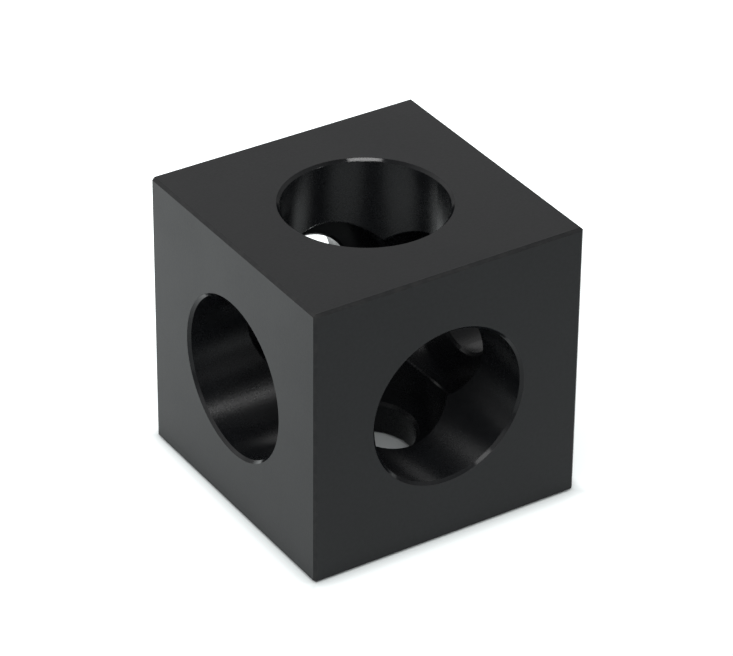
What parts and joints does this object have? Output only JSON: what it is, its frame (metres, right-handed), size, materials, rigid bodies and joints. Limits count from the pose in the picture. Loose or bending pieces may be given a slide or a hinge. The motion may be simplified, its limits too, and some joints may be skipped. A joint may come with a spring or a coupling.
{
  "type": "three way corner connector",
  "caption": "Cube that joins the ends of slotted profiles at a corner: stepped bores cross in its middle, each with a wide mouth and a screw hole in the far face.",
  "frame": {"origin": "middle of the cube, where the three bore axes cross", "axes": "each row axis is a bore axis: profile ends butt on the +X, +Y and -Z faces, and the wide bores open on -X, -Y and +Z"},
  "size_m": [0.02, 0.02, 0.02],
  "materials": {
    "black_anodised": "satin black anodised"
  },
  "bodies": {
    "root": {"corner_cube": "black_anodised"}
  },
  "joints": []
}
